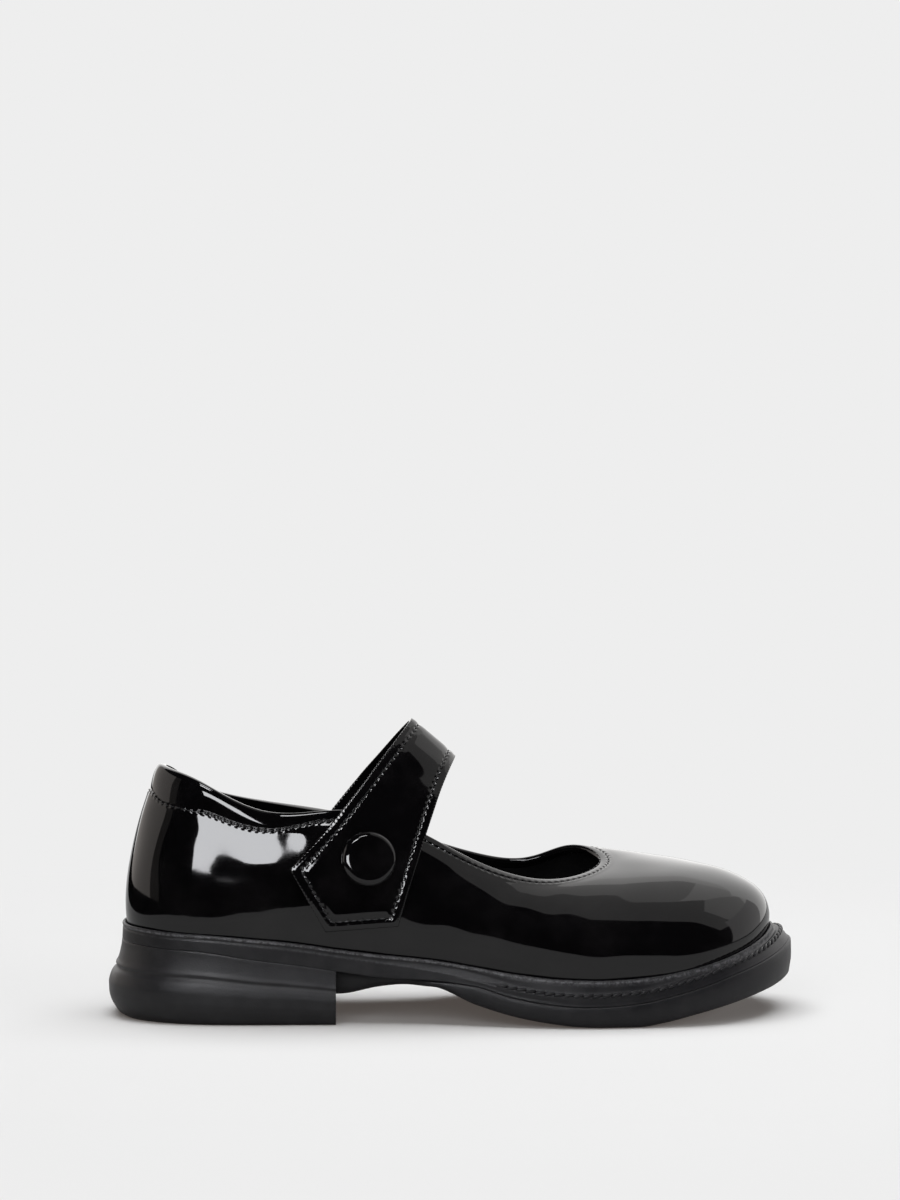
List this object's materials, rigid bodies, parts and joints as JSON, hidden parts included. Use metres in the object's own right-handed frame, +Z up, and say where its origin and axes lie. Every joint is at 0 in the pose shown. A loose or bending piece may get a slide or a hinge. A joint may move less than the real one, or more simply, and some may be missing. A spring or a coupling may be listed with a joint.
{
  "type": "mary jane shoe",
  "caption": "Right mary jane shoe: hollow patent upper open at collar and throat, wide fastened strap with a domed button, moulded sole with a low block heel.",
  "frame": {"origin": "middle of the footprint's bounding box, on the floor", "axes": "+X from heel to toe, +Y towards the inner side of the foot, +Z up"},
  "size_m": [0.2646, 0.1, 0.114],
  "materials": {
    "patent_leather": "mirror gloss patent",
    "midsole_rubber": "satin moulded",
    "outsole_rubber": "matt moulded",
    "lining": "matt lining leather"
  },
  "bodies": {
    "root": {"upper": "patent_leather", "midsole": "midsole_rubber", "outsole": "outsole_rubber", "heel": "outsole_rubber", "insole": "lining", "strap": "patent_leather", "button": "patent_leather"}
  },
  "joints": []
}
